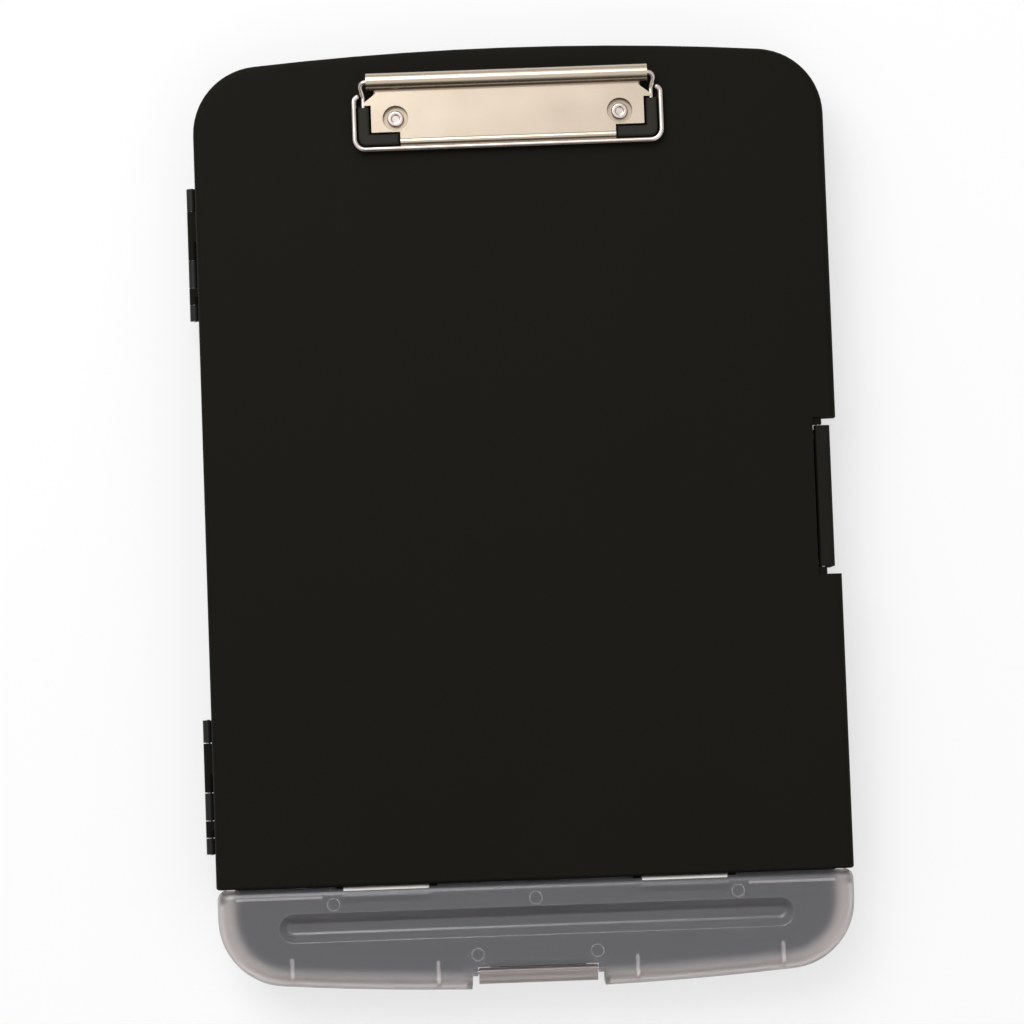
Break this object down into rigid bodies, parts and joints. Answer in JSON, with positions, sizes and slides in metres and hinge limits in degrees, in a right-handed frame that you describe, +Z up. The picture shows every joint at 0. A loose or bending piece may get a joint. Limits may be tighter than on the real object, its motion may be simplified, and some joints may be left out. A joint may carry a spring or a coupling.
{
  "type": "storage clipboard box",
  "caption": "Slim storage clipboard: paper tray under a side-hinged board lid with a low spring clip, and a pen compartment in front with its own frosted hinged lid and flap latches.",
  "frame": {"origin": "middle of the outline on the tray's flat underside", "axes": "+X to the side with the latch, +Y from the pen compartment to the clip, +Z up through the board"},
  "size_m": [0.2358, 0.3447, 0.0337],
  "materials": {
    "black_plastic": "moulded black plastic, satin",
    "black_board_plastic": "moulded black plastic with a fine matt grain",
    "frosted_plastic": "frosted translucent plastic",
    "steel_pin": "bright drawn steel",
    "nickel_plate": "nickel-plated sheet steel, bright",
    "bright_wire": "nickel-plated spring wire, bright",
    "rivet_steel": "nickel-plated steel, bright",
    "black_rubber": "soft black rubber, matt"
  },
  "bodies": {
    "tray": {"base_tray": "black_plastic", "upper_hinge_pin": "steel_pin", "lower_hinge_pin": "steel_pin", "pen_hinge_pin_left": "steel_pin", "pen_hinge_pin_right": "steel_pin"},
    "lid": {"board_lid": "black_board_plastic", "side_latch_pin": "steel_pin", "clip_base_plate": "nickel_plate", "clip_rivet_left": "rivet_steel", "clip_rivet_right": "rivet_steel", "rivet_washer_left": "rivet_steel", "rivet_washer_right": "rivet_steel"},
    "side_flap": {"side_latch": "black_plastic"},
    "pen_cover": {"pen_lid": "frosted_plastic", "pen_latch_pin": "steel_pin"},
    "pen_flap": {"pen_latch": "frosted_plastic"},
    "jaw": {"clip_lever_plate": "nickel_plate", "clip_frame_wire": "bright_wire", "clip_spring_wire": "bright_wire", "corner_grip_left": "black_rubber", "corner_grip_right": "black_rubber"}
  },
  "joints": [
    {"name": "lid_hinge", "type": "hinge", "parent": "tray", "child": "lid", "pos_m": [-0.118, 0, 0.01615], "axis": [0, -1, 0], "range_deg": [0, 178]},
    {"name": "side_latch_hinge", "type": "hinge", "parent": "lid", "child": "side_flap", "pos_m": [0.1093, 0.0029, 0.0234], "axis": [0, -1, 0], "range_deg": [0, 75]},
    {"name": "pen_lid_hinge", "type": "hinge", "parent": "tray", "child": "pen_cover", "pos_m": [0, -0.1367, 0.022], "axis": [-1, 0, 0], "range_deg": [0, 90]},
    {"name": "pen_latch_hinge", "type": "hinge", "parent": "pen_cover", "child": "pen_flap", "pos_m": [0, -0.1658, 0.0228], "axis": [-1, 0, 0], "range_deg": [0, 75]},
    {"name": "clip_hinge", "type": "hinge", "parent": "lid", "child": "jaw", "pos_m": [0, 0.1601, 0.0304], "axis": [-1, 0, 0], "range_deg": [0, 25], "stiffness_Nm_per_rad": 0.6, "springref_deg": -20.05}
  ]
}
